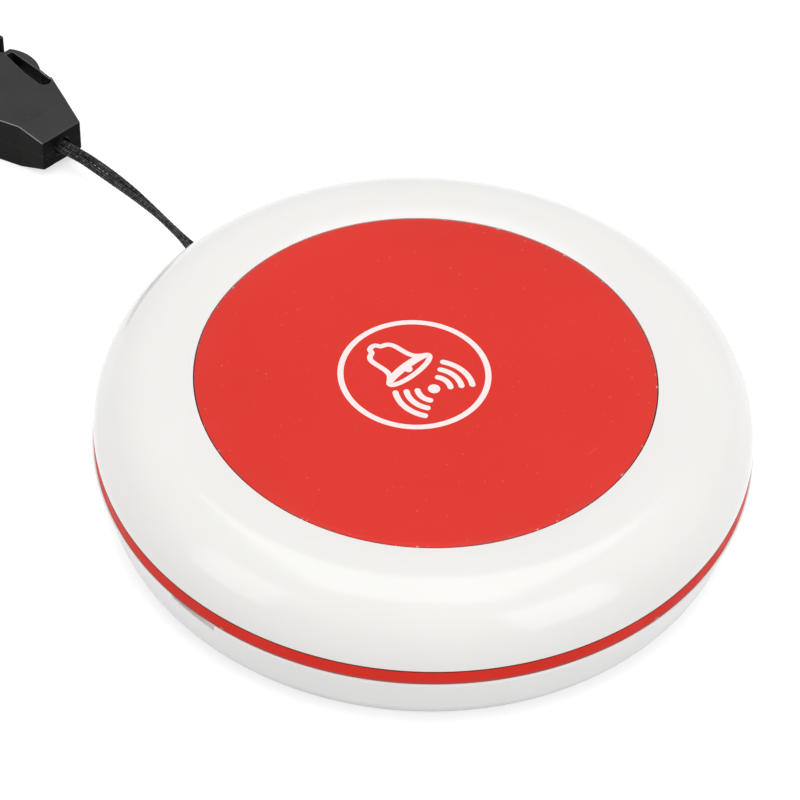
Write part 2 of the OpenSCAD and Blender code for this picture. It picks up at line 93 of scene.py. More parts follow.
def make_camera():
    data = bpy.data.cameras.new("camera")
    data.sensor_width = CAMERA_SENSOR
    data.lens = CAMERA_LENS
    data.clip_start = 0.01
    data.clip_end = 10.0
    camera = bpy.data.objects.new("camera", data)
    scene.collection.objects.link(camera)
    half = math.sqrt(0.5)
    right = Vector((half, -half, 0.0))
    away = Vector((half, half, 0.0))
    back = Vector((0, 0, math.sin(CAMERA_ELEVATION))) - away * math.cos(CAMERA_ELEVATION)
    up = back.cross(right)
    right_rolled = right * math.cos(CAMERA_ROLL) + up * math.sin(CAMERA_ROLL)
    up_rolled = up * math.cos(CAMERA_ROLL) - right * math.sin(CAMERA_ROLL)
    turn = Matrix((right_rolled, up_rolled, back)).transposed()
    camera.matrix_world = Matrix.Translation(CAMERA_AT) @ turn.to_4x4()
    scene.camera = camera


make_camera()


# Mesh helpers
def add_object(name, mesh, body):
    piece = bpy.data.objects.new(name, mesh)
    scene.collection.objects.link(piece)
    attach(piece, body)
    return piece


def mesh_from(name, points, faces):
    mesh = bpy.data.meshes.new(name)
    mesh.from_pydata([Vector(p) * MM for p in points], [], faces)
    mesh.validate()
    mesh.polygons.foreach_set("use_smooth", [True] * len(mesh.polygons))
    mesh.update()
    return mesh


JOIN_DISTANCE = 0.002


def node_copy(node, name):
    """An object with a copy of a CAD node's mesh, its split corners joined again."""
    mesh = nodes[node].data.copy()
    mesh.materials.clear()
    work = bmesh.new()
    work.from_mesh(mesh)
    bmesh.ops.remove_doubles(work, verts=work.verts, dist=JOIN_DISTANCE * MM)
    for face in work.faces:
        face.smooth = True
    work.to_mesh(mesh)
    work.free()
    if "custom_normal" in mesh.attributes:
        mesh.attributes.remove(mesh.attributes["custom_normal"])
    piece = bpy.data.objects.new(name, mesh)
    scene.collection.objects.link(piece)
    return piece


def stand_for(piece, node):
    """Applies a copy's modifiers and lets it stand for its CAD node."""
    bpy.context.view_layer.update()
    made = bpy.data.meshes.new_from_object(piece.evaluated_get(bpy.context.evaluated_depsgraph_get()))
    piece.modifiers.clear()
    piece.data = made
    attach(piece, nodes[node]["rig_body"])
    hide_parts(node)
    return piece


SHARP = math.radians(30.0)


def keep_sharp(work):
    """Smooth faces that meet sharply only at real edges."""
    for face in work.faces:
        face.smooth = True
    for edge in work.edges:
        edge.smooth = len(edge.link_faces) == 2 and edge.calc_face_angle() < SHARP


TURN_STEPS = 360
HUB_R = 0.05


def turn_line(work, line):
    """Turns points of radius and height about the axis and returns the rings of corners."""
    rings = []
    for r, z in line:
        ring = []
        for k in range(TURN_STEPS):
            a = 2 * math.pi * k / TURN_STEPS
            ring.append(work.verts.new(Vector((r * math.cos(a), r * math.sin(a), z)) * MM))
        rings.append(ring)
    return rings


def join_rings(work, rings):
    for low, high in zip(rings, rings[1:]):
        for k in range(TURN_STEPS):
            m = (k + 1) % TURN_STEPS
            work.faces.new((low[k], low[m], high[m], high[k]))


def turned_mesh(name, line, closed):
    """A turned body: a ring if the line is closed, otherwise one whose ends close at HUB_R."""
    work = bmesh.new()
    rings = turn_line(work, line)
    join_rings(work, rings + rings[:1] if closed else rings)
    if not closed:
        work.faces.new(rings[0])
        work.faces.new(rings[-1])
    bmesh.ops.recalc_face_normals(work, faces=work.faces)
    keep_sharp(work)
    mesh = bpy.data.meshes.new(name)
    work.to_mesh(mesh)
    work.free()
    return mesh


def turned_piece(node, name, line, closed):
    """A turned piece that stands for its CAD node."""
    piece = add_object(name, turned_mesh(name, line, closed), nodes[node]["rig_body"])
    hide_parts(node)
    return piece


def moulded_copy(node, name, slot, voxel, passes, share):
    """A copy of a CAD node with all edges rounded off, as a mould leaves them."""
    piece = node_copy(node, name)
    remesh = piece.modifiers.new("remesh", "REMESH")
    remesh.mode = "VOXEL"
    remesh.voxel_size = voxel * MM
    remesh.use_smooth_shade = True
    soften = piece.modifiers.new("soften", "SMOOTH")
    soften.factor = 0.5
    soften.iterations = passes
    thin = piece.modifiers.new("thin", "DECIMATE")
    thin.ratio = share
    return stand_for(piece, node)


# Route of the cord, repeated from the part's source
CORD_D = 0.75
STRAND_HALF = 0.345
POST_R = 27.0
LANYARD_AT = math.radians(87.0)
LOOP_R = 1.975
Z_LOOP = 3.2
CORD_MID = [
    (2.45, 59.2, 2.7), (2.6, 56.3, 2.7), (3.26, 53.6, 2.45), (3.6, 50.0, 2.3), (3.63, 46.2, 2.35),
    (3.3, 42.1, 2.6), (2.87, 38.9, 2.85), (2.46, 36.05, 3.02), (1.85, 31.7, Z_LOOP)]
CORD_TURN = [30, 30, 22, 25, -13, -46, -50, -33, -25]
CORD_APART = [0, 0, 0, 0, 0, 0, 0, 0.04, 0.62]
LOOP_TURNS = [0, -30, -60, -90, -120, -150, -180]


def strand_point(i, side):
    half = STRAND_HALF + CORD_APART[i] * (LOOP_R - STRAND_HALF)
    turn = math.radians(CORD_TURN[i])
    x, y, z = CORD_MID[i]
    return Vector((x + side * half * math.cos(turn), y, z + side * half * math.sin(turn)))


def loop_point(degrees):
    turn = math.radians(degrees) + LANYARD_AT - math.pi / 2
    x = POST_R * math.cos(LANYARD_AT) + LOOP_R * math.cos(turn)
    y = POST_R * math.sin(LANYARD_AT) + LOOP_R * math.sin(turn)
    return Vector((x, y, Z_LOOP))


def between(points):
    """The points with one more between each two, on a smooth curve."""
    last = len(points) - 1
    out = []
    for i in range(last):
        before = points[max(0, i - 1)]
        after = points[min(last, i + 2)]
        out.append(points[i])
        out.append((9 * (points[i] + points[i + 1]) - before - after) / 16)
    out.append(points[last])
    return out


SMOOTH_PASSES = 3


def smooth_line(points):
    for _ in range(SMOOTH_PASSES):
        points = between(points)
    return points


def cord_route():
    count = len(CORD_MID)
    points = [strand_point(i, 1) for i in range(count)]
    points += [loop_point(a) for a in LOOP_TURNS]
    points += [strand_point(count - 1 - i, -1) for i in range(count)]
    return smooth_line(points)


def even_steps(points, step):
    """The route again, with points at even steps."""
    lengths = [0.0]
    for a, b in zip(points, points[1:]):
        lengths.append(lengths[-1] + (b - a).length)
    count = int(lengths[-1] / step)
    out = []
    j = 0
    for k in range(count + 1):
        at = lengths[-1] * k / count
        while j < len(points) - 2 and lengths[j + 1] < at:
            j += 1
        share = (at - lengths[j]) / max(1e-9, lengths[j + 1] - lengths[j])
        out.append(points[j].lerp(points[j + 1], min(1.0, share)))
    return out, lengths[-1]


# Braid: carriers that cross over and under each other
BRAID_CARRIERS = 4
BRAID_PITCH = 2.4
BRAID_RELIEF = 0.07
CORD_SIDES = 24
CORD_STEP = 0.06


def braid_height(turn, along):
    left = math.sin(BRAID_CARRIERS * turn + 2 * math.pi * BRAID_CARRIERS * along / BRAID_PITCH)
    right = math.sin(BRAID_CARRIERS * turn - 2 * math.pi * BRAID_CARRIERS * along / BRAID_PITCH)
    return 0.5 * abs(left * right) ** 0.6 + 0.2 * max(left, right)


def unroll(mesh, sides, step):
    """Texture places on a tube: once round it, and millimetres along it."""
    layer = mesh.uv_layers.new(name="UVMap")
    for polygon in mesh.polygons:
        corners = list(polygon.loop_indices)
        first = mesh.loops[corners[0]].vertex_index
        for corner in corners:
            vertex = mesh.loops[corner].vertex_index
            around = vertex % sides
            if first % sides == sides - 1 and around == 0:
                around = sides
            layer.data[corner].uv = (around / sides, (vertex // sides) * step)


def cord_mesh():
    path, length = even_steps(cord_route(), CORD_STEP)
    points = []
    for i, at in enumerate(path):
        ahead = (path[min(len(path) - 1, i + 1)] - path[max(0, i - 1)]).normalized()
        beside = ahead.cross(Vector((0, 0, 1))).normalized()
        above = beside.cross(ahead)
        for k in range(CORD_SIDES):
            turn = 2 * math.pi * k / CORD_SIDES
            radius = CORD_D / 2 - BRAID_RELIEF * (1 - braid_height(turn, i * CORD_STEP))
            points.append(at + radius * (math.cos(turn) * beside + math.sin(turn) * above))
    faces = []
    for i in range(len(path) - 1):
        for k in range(CORD_SIDES):
            a = i * CORD_SIDES + k
            b = i * CORD_SIDES + (k + 1) % CORD_SIDES
            faces.append((a, b, b + CORD_SIDES, a + CORD_SIDES))
    faces.append(tuple(reversed(range(CORD_SIDES))))
    faces.append(tuple(range((len(path) - 1) * CORD_SIDES, len(path) * CORD_SIDES)))
    mesh = mesh_from("cord", points, faces)
    unroll(mesh, CORD_SIDES, CORD_STEP)
    return mesh, [p * MM for p in path], length * MM


mesh, cord_path, cord_length = cord_mesh()
cord = add_object("lanyard_braid", mesh, "base")
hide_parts("lanyard_cord")

# Knot in the buckle's tail: one closed tube in an overhand turn
KNOT_AT = Vector((2.477, 59.11, BUCKLE_MID))
KNOT_SCALE = 0.256
KNOT_DEPTH = 1.3
KNOT_TUBE = 0.336
KNOT_RINGS = 90
KNOT_SIDES = 12


def knot_line(t):
    x = math.sin(t) + 2 * math.sin(2 * t)
    y = -KNOT_DEPTH * math.sin(3 * t)
    z = math.cos(t) - 2 * math.cos(2 * t)
    return KNOT_AT + KNOT_SCALE * Vector((x, y, z))


def knot_mesh():
    line = [knot_line(2 * math.pi * i / KNOT_RINGS) for i in range(KNOT_RINGS)]
    points = []
    faces = []
    for i in range(KNOT_RINGS):
        j = (i + 1) % KNOT_RINGS
        low = i * KNOT_SIDES
        high = j * KNOT_SIDES
        ahead = (line[j] - line[i - 1]).normalized()
        beside = ahead.cross(line[i] - KNOT_AT).normalized()
        above = beside.cross(ahead)
        for k in range(KNOT_SIDES):
            a = 2 * math.pi * k / KNOT_SIDES
            m = (k + 1) % KNOT_SIDES
            points.append(line[i] + KNOT_TUBE * (math.cos(a) * beside + math.sin(a) * above))
            faces.append((low + k, low + m, high + m, high + k))
    return mesh_from("knot", points, faces)


knot = add_object("lanyard_knot", knot_mesh(), "base")
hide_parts("cord_knot")

# Buckle with moulded edges
PRONG_MOULD = {"voxel": 0.06, "passes": 5, "share": 0.4}
socket = moulded_copy("buckle_socket", "buckle_socket_moulded", "buckle", voxel=0.08, passes=12, share=0.6)
plug = moulded_copy("buckle_plug", "buckle_plug_moulded", "buckle", voxel=0.09, passes=8, share=0.5)
prong_left = moulded_copy("release_prong_left", "prong_left_moulded", "buckle", **PRONG_MOULD)
prong_right = moulded_copy("release_prong_right", "prong_right_moulded", "buckle", **PRONG_MOULD)

# Upper case: a finely turned outside on the CAD node's inside
DOME_STEPS = 44
CREST_STEPS = 12
LIP_R = 0.04
LIP_STEPS = 4
NEAR = 0.01


def crest(r):
    return Z_TOP - CREST_R + math.sqrt(CREST_R ** 2 - (DOME_C - r) ** 2)


def upper_line():
    """Radius and height along the outside, from the lower edge to the foot of the opening."""
    line = [(CASE_R - EDGE, Z_BAND), (CASE_R, Z_BAND + EDGE)]
    for i in range(1, DOME_STEPS + 1):
        a = math.pi / 2 * i / DOME_STEPS
        line.append((DOME_C + DOME_H * math.cos(a), Z_BAND + DOME_H * math.sin(a)))
    lip = OPENING_R + LIP_R
    for i in range(1, CREST_STEPS + 1):
        r = DOME_C + (lip - DOME_C) * i / CREST_STEPS
        line.append((r, crest(r)))
    for i in range(1, LIP_STEPS + 1):
        a = math.pi / 2 * i / LIP_STEPS
        line.append((lip - LIP_R * math.sin(a), crest(lip) - LIP_R + LIP_R * math.cos(a)))
    line.append((OPENING_R, Z_TOP - WALL))
    return line


def on_outside(point):
    r = point.xy.length / MM
    z = point.z / MM
    dome = abs(math.hypot(r - DOME_C, z - Z_BAND) - DOME_H) < NEAR
    land = r < DOME_C and z > Z_TOP - WALL + NEAR
    opening = abs(r - OPENING_R) < NEAR
    return dome or land or opening or r > CASE_R - EDGE - NEAR


def upper_mesh(mesh):
    work = bmesh.new()
    work.from_mesh(mesh)
    old = [f for f in work.faces if all(on_outside(v.co) for v in f.verts)]
    bmesh.ops.delete(work, geom=old, context="FACES")
    join_rings(work, turn_line(work, upper_line()))
    keep_sharp(work)
    work.to_mesh(mesh)
    work.free()


upper = node_copy("upper_shell", "upper_case_moulded")
upper_mesh(upper.data)
stand_for(upper, "upper_shell")

# Band and film
BAND_OUT = 0.04
TONGUE_R = 28.3
RING_IN_R = 27.4
TONGUE_H = 0.8
BAND_LINE = [
    (RING_IN_R, Z_RIM), (CASE_R + BAND_OUT - EDGE, Z_RIM), (CASE_R + BAND_OUT, Z_RIM + EDGE),
    (CASE_R, Z_BAND - EDGE), (CASE_R - EDGE, Z_BAND), (TONGUE_R, Z_BAND), (TONGUE_R, Z_BAND + TONGUE_H),
    (RING_IN_R, Z_BAND + TONGUE_H)]
FILM_T = 0.2
FILM_EDGE = 0.02
FILM_CORNER = 0.3 * FILM_EDGE
FILM_RINGS = [0.97, 0.6, 0.3]
FILM_LINE = [
    (HUB_R, Z_FACE - FILM_T), (FILM_R, Z_FACE - FILM_T), (FILM_R, Z_FACE - FILM_EDGE),
    (FILM_R - FILM_CORNER, Z_FACE - FILM_CORNER), (FILM_R - FILM_EDGE, Z_FACE)]
FILM_LINE += [(share * FILM_R, Z_FACE) for share in FILM_RINGS]
FILM_LINE += [(HUB_R, Z_FACE)]

band = turned_piece("trim_ring", "band_moulded", BAND_LINE, True)
film = turned_piece("button_label", "red_film", FILM_LINE, False)

# Lower case: the CAD node, swollen a little outside and cut back by a finely turned body
RIM_OUT = 0.19
RIM_R = CASE_R + RIM_OUT
RIM_EDGE = 0.12
FLANK_IN = 0.95
KNEE_R = RIM_R - FLANK_IN
FOOT_R = 3.0
BASE_R = KNEE_R - FOOT_R
BASE_RING = 0.9
FOOT_STEPS = 16
SWELL = 0.1


def lower_line():
    """Radius and height along the outside, from the middle of the base to over the rim."""
    line = [(HUB_R, 0.0), (BASE_RING * BASE_R, 0.0)]
    for i in range(FOOT_STEPS + 1):
        a = math.pi / 2 * i / FOOT_STEPS
        line.append((BASE_R + FOOT_R * math.sin(a), FOOT_R - FOOT_R * math.cos(a)))
    line += [(RIM_R, Z_RIM - RIM_EDGE), (RIM_R - RIM_EDGE - SWELL, Z_RIM + SWELL), (HUB_R, Z_RIM + SWELL)]
    return line


def swell(mesh):
    """Moves the corners of the base down, and those of the side outwards."""
    for vert in mesh.vertices:
        r = vert.co.xy.length / MM
        z = vert.co.z / MM
        flank_r = KNEE_R + (RIM_R - KNEE_R) * (z - FOOT_R) / (Z_RIM - RIM_EDGE - FOOT_R)
        foot = z < FOOT_R and math.hypot(r - BASE_R, z - FOOT_R) > FOOT_R - NEAR and r > BASE_R
        flank = z > FOOT_R - NEAR and r > min(flank_r, RIM_R - RIM_EDGE) - NEAR
        if foot or flank:
            vert.co.xy *= (r + SWELL) / r
        if z < NEAR:
            vert.co.z = -SWELL * MM


def cut_back(piece):
    """Cuts the swollen copy to the turned outline and lets it stand for the lower case."""
    cutter = bpy.data.objects.new("lower_cutter", turned_mesh("lower_cutter", lower_line(), False))
    scene.collection.objects.link(cutter)
    cut = piece.modifiers.new("cut", "BOOLEAN")
    cut.operation = "INTERSECT"
    cut.solver = "EXACT"
    cut.object = cutter
    stand_for(piece, "lower_shell")
    work = bmesh.new()
    work.from_mesh(piece.data)
    keep_sharp(work)
    work.to_mesh(piece.data)
    work.free()
    bpy.data.objects.remove(cutter)


lower = node_copy("lower_shell", "lower_case_moulded")
swell(lower.data)
cut_back(lower)

# Printed sign: a bell in a ring, with plain sound waves under it
RING_AT = Vector((-0.78, 0.7))
RING_R = 6.65
RING_W = 0.54
RING_STEPS = 160
BELL_AT = Vector((-0.76, 1.27))
BELL_TURN = math.radians(4.4)
BELL_W = 0.5
BELL_LEAN = 0.05
BELL_HALF = [
    (0.0, 4.52), (0.33, 4.43), (0.48, 4.2), (0.61, 3.97), (0.94, 3.84), (1.26, 3.6),
    (1.44, 3.1), (1.47, 2.35), (1.5, 1.58), (1.7, 0.97), (2.13, 0.54), (2.56, 0.24)]
MOUTH_R = 2.6
MOUTH_SQUEEZE = 0.27
MOUTH_UP = 0.09
MOUTH_STEPS = 64
LIP_SQUEEZE = 0.16
LIP_FROM = 25
LIP_TO = 155
LIP_LINE_STEPS = 32
CLAPPER_R = 0.38
CLAPPER_UP = 0.22
WAVE_DOWN = 2.55
WAVE_DOT = 0.55
WAVE_RADII = [1.5, 2.5, 3.5]
WAVE_SPAN = 33
WAVE_W = 0.55
WAVE_STEPS = 20
DISC_SIDES = 24
PRINT_T = 0.015
PRINT_STEP = 0.002


def ribbon(points, width, closed):
    """A flat line of even width through points, as (points, faces)."""
    count = len(points)
    out = []
    for i in range(count):
        before = points[i - 1] if closed or i > 0 else points[i]
        after = points[(i + 1) % count] if closed or i < count - 1 else points[i]
        first = (points[i] - before).normalized()
        second = (after - points[i]).normalized()
        ahead = (first + second).normalized()
        side = Vector((-ahead.y, ahead.x))
        stretch = 1 / max(0.5, ahead.dot(first), ahead.dot(second))
        out.append(points[i] + side * width / 2 * stretch)
        out.append(points[i] - side * width / 2 * stretch)
    faces = []
    for i in range(count if closed else count - 1):
        a = 2 * i
        b = 2 * ((i + 1) % count)
        faces.append((a, a + 1, b + 1, b))
    return out, faces


def arc(centre, radius, start, stop, count, squeeze=1.0):
    out = []
    for i in range(count + 1):
        a = math.radians(start + (stop - start) * i / count)
        out.append(centre + Vector((radius * math.cos(a), squeeze * radius * math.sin(a))))
    return out


def disc(centre, radius):
    return arc(centre, radius, 0, 360, DISC_SIDES)[:-1], [tuple(range(DISC_SIDES))]


def on_bell(x, y):
    leant = x - BELL_LEAN * y
    across = leant * math.cos(BELL_TURN) - y * math.sin(BELL_TURN)
    upward = leant * math.sin(BELL_TURN) + y * math.cos(BELL_TURN)
    return BELL_AT + Vector((across, upward))


def bell_shapes():
    half = smooth_line([Vector(p) for p in BELL_HALF])
    outline = [on_bell(-p.x, p.y) for p in half[::-1]] + [on_bell(p.x, p.y) for p in half[1:]]
    middle = Vector((0, MOUTH_UP))
    oval = arc(middle, MOUTH_R, 0, 360, MOUTH_STEPS, MOUTH_SQUEEZE)[:-1]
    mouth = [on_bell(p.x, p.y) for p in oval]
    crown = arc(middle, MOUTH_R, LIP_FROM, LIP_TO, LIP_LINE_STEPS, LIP_SQUEEZE)
    lip = [on_bell(p.x, p.y) for p in crown]
    strokes = [ribbon(outline, BELL_W, False), ribbon(mouth, BELL_W, True), ribbon(lip, BELL_W, False)]
    return strokes + [disc(on_bell(0, CLAPPER_UP), CLAPPER_R)]


def wave_shapes():
    centre = RING_AT - Vector((0, WAVE_DOWN))
    shapes = [disc(centre, WAVE_DOT)]
    for radius in WAVE_RADII:
        for middle in (0, 180):
            line = arc(centre, radius, middle - WAVE_SPAN, middle + WAVE_SPAN, WAVE_STEPS)
            shapes.append(ribbon(line, WAVE_W, False))
            shapes.append(disc(line[0], WAVE_W / 2))
            shapes.append(disc(line[-1], WAVE_W / 2))
    return shapes


def sign_mesh():
    ring = ribbon(arc(RING_AT, RING_R, 0, 360, RING_STEPS)[:-1], RING_W, True)
    work = bmesh.new()
    for i, (points, faces) in enumerate([ring] + bell_shapes() + wave_shapes()):
        verts = [work.verts.new(Vector((p.x, p.y, Z_FACE)) * MM) for p in points]
        made = [work.faces.new([verts[k] for k in face]) for face in faces]
        bmesh.ops.recalc_face_normals(work, faces=made)
        grown = bmesh.ops.extrude_face_region(work, geom=made)
        top = [g for g in grown["geom"] if isinstance(g, bmesh.types.BMVert)]
        bmesh.ops.translate(work, verts=top, vec=(0, 0, (PRINT_T + i * PRINT_STEP) * MM))
        bmesh.ops.delete(work, geom=made, context="FACES_ONLY")
    bmesh.ops.recalc_face_normals(work, faces=work.faces)
    mesh = bpy.data.meshes.new("sign")
    work.to_mesh(mesh)
    work.free()
    return mesh


sign = add_object("printed_sign", sign_mesh(), "button")


# Materials
NOISE_LOW = 0.3
NOISE_HIGH = 0.7
MIX_A = 6
MIX_B = 7
MIX_OUT = 2


class Shade:
    """A material and short ways to add nodes to it."""

    def __init__(self, name):
        self.material = bpy.data.materials.new(name)
        self.material.use_nodes = True
        self.tree = self.material.node_tree
        self.bsdf = self.tree.nodes["Principled BSDF"]
        self.coords = self.tree.nodes.new("ShaderNodeTexCoord")
        self.place = self.coords.outputs["Object"]

    def set(self, **values):
        for key, value in values.items():
            self.bsdf.inputs[key.replace("_", " ")].default_value = value

    def link(self, start, end):
        self.tree.links.new(start, end)

    def stretched(self, scale, turn=0.0):
        node = self.tree.nodes.new("ShaderNodeMapping")
        node.inputs["Scale"].default_value = scale
        node.inputs["Rotation"].default_value = (0, 0, turn)
        self.link(self.place, node.inputs["Vector"])
        return node.outputs["Vector"]

    def noise(self, scale, detail=2.0, rough=0.5, vector=None):
        node = self.tree.nodes.new("ShaderNodeTexNoise")
        node.inputs["Scale"].default_value = scale
        node.inputs["Detail"].default_value = detail
        node.inputs["Roughness"].default_value = rough
        self.link(vector or self.place, node.inputs["Vector"])
        return node.outputs["Fac"]

    def mottle(self, scale, detail, start=0.0, stop=1.0):
        """Noise stretched to run from start to stop."""
        return self.ramp(self.noise(scale, detail), NOISE_LOW, NOISE_HIGH, start, stop)

    def cells(self, scale, feature="F1"):
        node = self.tree.nodes.new("ShaderNodeTexVoronoi")
        node.feature = feature
        node.inputs["Scale"].default_value = scale
        self.link(self.place, node.inputs["Vector"])
        return node

    def ramp(self, source, low, high, start=0.0, stop=1.0):
        node = self.tree.nodes.new("ShaderNodeMapRange")
        node.inputs["From Min"].default_value = low
        node.inputs["From Max"].default_value = high
        node.inputs["To Min"].default_value = start
        node.inputs["To Max"].default_value = stop
        self.link(source, node.inputs["Value"])
        return node.outputs["Result"]

    def math(self, kind, a, b=0.0):
        node = self.tree.nodes.new("ShaderNodeMath")
        node.operation = kind
        for socket, value in zip(node.inputs, (a, b)):
            if isinstance(value, (int, float)):
                socket.default_value = value
            else:
                self.link(value, socket)
        return node.outputs["Value"]

    def mix(self, share, a, b):
        node = self.tree.nodes.new("ShaderNodeMix")
        node.data_type = "RGBA"
        self.link(share, node.inputs["Factor"])
        for socket, value in ((node.inputs[MIX_A], a), (node.inputs[MIX_B], b)):
            if isinstance(value, tuple):
                socket.default_value = (*value, 1.0)
            else:
                self.link(value, socket)
        return node.outputs[MIX_OUT]

    def split(self, source):
        node = self.tree.nodes.new("ShaderNodeSeparateXYZ")
        self.link(source, node.inputs["Vector"])
        return node.outputs

    def radius(self):
        """Distance from the axis of the case, in metres."""
        at = self.split(self.place)
        squares = [self.math("POWER", at[axis], 2.0) for axis in ("X", "Y")]
        return self.math("SQRT", self.math("ADD", *squares))

    def upright(self):
        """1 on level faces, 0 on standing ones."""
        return self.math("ABSOLUTE", self.split(self.coords.outputs["Normal"])["Z"])

    def leftward(self):
        """1 on faces that look to -X, 0 on the others."""
        return self.ramp(self.split(self.coords.outputs["Normal"])["X"], -0.2, -0.4)

    def bump(self, height, strength, distance):
        node = self.tree.nodes.new("ShaderNodeBump")
        node.inputs["Strength"].default_value = strength
        node.inputs["Distance"].default_value = distance * MM
        self.link(height, node.inputs["Height"])
        self.link(node.outputs["Normal"], self.bsdf.inputs["Normal"])

    def color(self, source):
        self.link(source, self.bsdf.inputs["Base Color"])

    def rough(self, source):
        self.link(source, self.bsdf.inputs["Roughness"])

    def specks(self, scale, size, share):
        """Sparse small dots: 1 in a dot, 0 elsewhere."""
        cells = self.cells(scale)
        split = self.tree.nodes.new("ShaderNodeSeparateColor")
        self.link(cells.outputs["Color"], split.inputs["Color"])
        near = self.math("LESS_THAN", cells.outputs["Distance"], size)
        chosen = self.math("LESS_THAN", split.outputs["Red"], share)
        return self.math("MULTIPLY", near, chosen)


# Painted shade at the foot, darker towards the bottom: the heights where it starts and is full, and its
# share
FOOT_PAINTED_SHADE = [(2.5, 1.5, 0.35), (1.6, 1.0, 0.65)]


def white_plastic(name, light, dark, rough_low, rough_high):
    """White moulding: faint mottling, few dark specks, a painted highlight along the rim on the +Y half and
    painted shade at the foot.
    """
    m = Shade(name)
    tone = m.mottle(90.0, 3.0)
    body = m.mix(tone, dark, light)
    body = m.mix(m.specks(260.0, 0.022, 0.05), body, (0.45, 0.44, 0.43))
    height = m.split(m.place)["Z"]
    # Painted highlight: a pale line along the rim's top edge, on the +Y half only
    rim = m.ramp(height, (Z_RIM - 0.2) * MM, (Z_RIM - 0.1) * MM)
    rim = m.math("MULTIPLY", rim, m.math("LESS_THAN", height, (Z_RIM + 0.01) * MM))
    rim = m.math("MULTIPLY", rim, m.ramp(m.split(m.coords.outputs["Normal"])["Y"], -0.15, 0.1))
    body = m.mix(rim, body, (0.95, 0.945, 0.94))
    # Painted shade: the foot of the case darker towards the floor
    grime_and_shade = [m.ramp(height, start * MM, full * MM, 0.0, share) for start, full, share in FOOT_PAINTED_SHADE]
    m.color(m.mix(m.math("ADD", *grime_and_shade), body, tuple(0.4 * c for c in dark)))
    m.rough(m.mottle(420.0, 4.0, rough_low, rough_high))
    m.bump(m.noise(2600.0, 2.0), 0.03, 0.02)
    m.set(IOR=1.5)
    return m.material


def red_film():
    m = Shade("red_printed_film")
    tone = m.mottle(60.0, 3.0)
    body = m.mix(tone, (0.70, 0.015, 0.004), (0.745, 0.019, 0.006))
    radius = m.radius()
    dull = m.math("MULTIPLY", m.ramp(m.noise(160.0, 3.0), 0.35, 0.7), 0.35)
    dull = m.math("MULTIPLY", m.ramp(radius, (FILM_R - 2.5) * MM, FILM_R * MM), dull)
    body = m.mix(dull, body, (0.62, 0.035, 0.025))
    marks = m.noise(1.0, 2.0, 0.5, m.stretched((160.0, 2600.0, 90.0), 0.7))
    body = m.mix(m.math("MULTIPLY", m.ramp(marks, 0.75, 0.82), 0.15), body, (0.9, 0.42, 0.38))
    outward = m.ramp(radius, 0.3 * FILM_R * MM, FILM_R * MM, 0.07, 0.15)
    dust = m.math("MAXIMUM", m.specks(900.0, 0.085, 0.34), m.specks(1700.0, 0.12, 0.16))
    body = m.mix(m.math("MULTIPLY", dust, outward), body, (0.95, 0.5, 0.45))
    edge = m.ramp(radius, (FILM_R - 0.16) * MM, (FILM_R - 0.04) * MM)
    grime_and_shade = m.math("MULTIPLY", edge, m.ramp(m.noise(900.0, 3.0), 0.45, 0.6))
    body = m.mix(m.math("MULTIPLY", grime_and_shade, 0.6), body, (0.16, 0.11, 0.10))
    flaked = m.math("MULTIPLY", edge, m.ramp(m.noise(1300.0, 3.0), 0.66, 0.7))
    m.color(m.mix(flaked, body, (0.75, 0.6, 0.52)))
    m.rough(m.mottle(500.0, 4.0, 0.34, 0.46))
    m.bump(m.noise(5200.0, 2.0), 0.04, 0.02)
    m.set(Specular_IOR_Level=0.3)
    return m.material


def red_band():
    m = Shade("red_band_plastic")
    tone = m.mottle(140.0, 3.0)
    body = m.mix(tone, (0.7, 0.028, 0.017), (0.75, 0.035, 0.022))
    height = m.split(m.place)["Z"]
    low = m.math("LESS_THAN", height, (Z_RIM + 0.25) * MM)
    chips = m.math("MULTIPLY", m.ramp(m.noise(700.0, 3.0), 0.67, 0.69), low)
    body = m.mix(chips, body, (0.85, 0.8, 0.78))
    # Painted shade: the band darker below 0.2 mm over the rim, fading out by 0.28 mm, a shadow line above
    # the lower case
    foot = m.ramp(height, (Z_RIM + 0.28) * MM, (Z_RIM + 0.2) * MM)
    body = m.mix(m.math("MULTIPLY", foot, 0.6), body, (0.16, 0.12, 0.12))
    # Painted shade: a dark line along the top edge, the shadow in the seam under the dome's edge
    seam = m.ramp(height, (Z_BAND - 0.13) * MM, (Z_BAND - 0.04) * MM)
    m.color(m.mix(m.math("MULTIPLY", seam, 0.9), body, (0.03, 0.012, 0.01)))
    m.rough(m.mottle(600.0, 3.0, 0.4, 0.52))
    m.bump(m.noise(3000.0, 2.0), 0.04, 0.02)
    m.set(Specular_IOR_Level=0.05)
    return m.material


